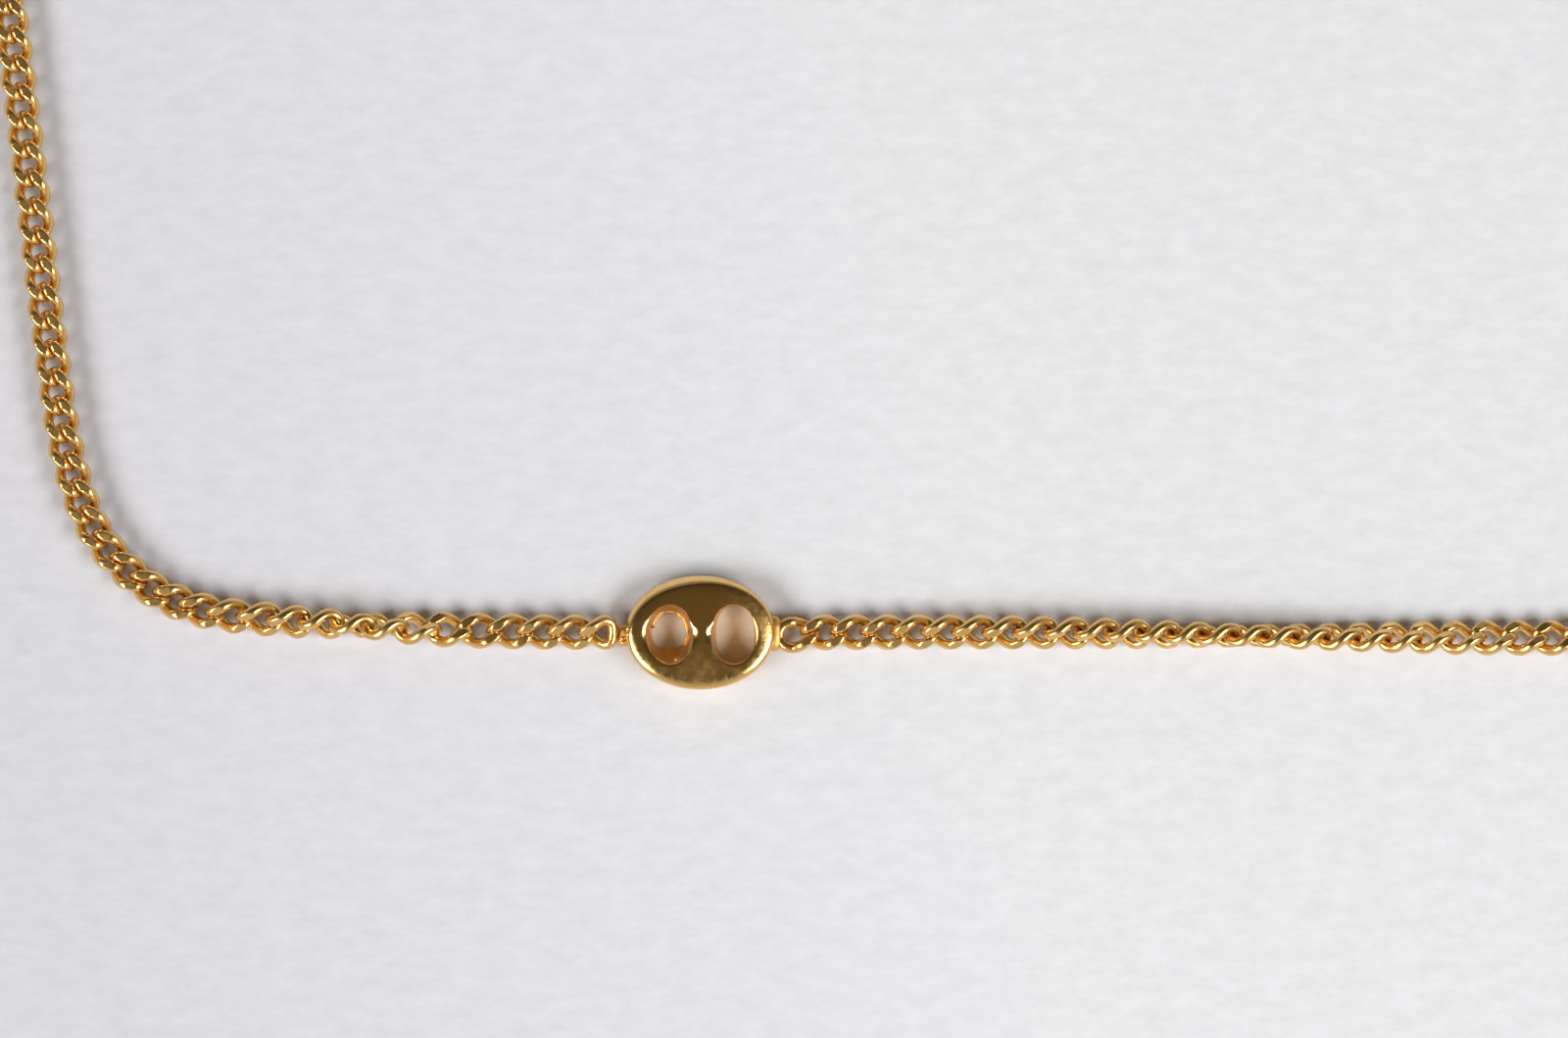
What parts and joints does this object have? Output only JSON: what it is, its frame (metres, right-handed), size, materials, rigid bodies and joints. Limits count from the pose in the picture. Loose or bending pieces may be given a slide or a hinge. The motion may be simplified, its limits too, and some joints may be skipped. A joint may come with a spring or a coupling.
{
  "type": "gold necklace",
  "caption": "Fine curb-chain necklace with a puffed oval link set in it, laid flat as an open loop that closes at a barrel clasp.",
  "frame": {"origin": "on the table, under the bridge of the puffed link, which lies on its flat back", "axes": "+X along the shown chain to the picture's right, +Y up in the picture, +Z up from the table to the camera"},
  "size_m": [0.1555, 0.0939, 0.002],
  "materials": {
    "station_gold": "polished, slightly mottled",
    "chain_gold": "polished"
  },
  "bodies": {
    "root": {"station": "station_gold", "chain_left_front": "chain_gold", "chain_right_front": "chain_gold", "chain_left_back": "chain_gold", "chain_right_back": "chain_gold", "clasp": "chain_gold"}
  },
  "joints": []
}
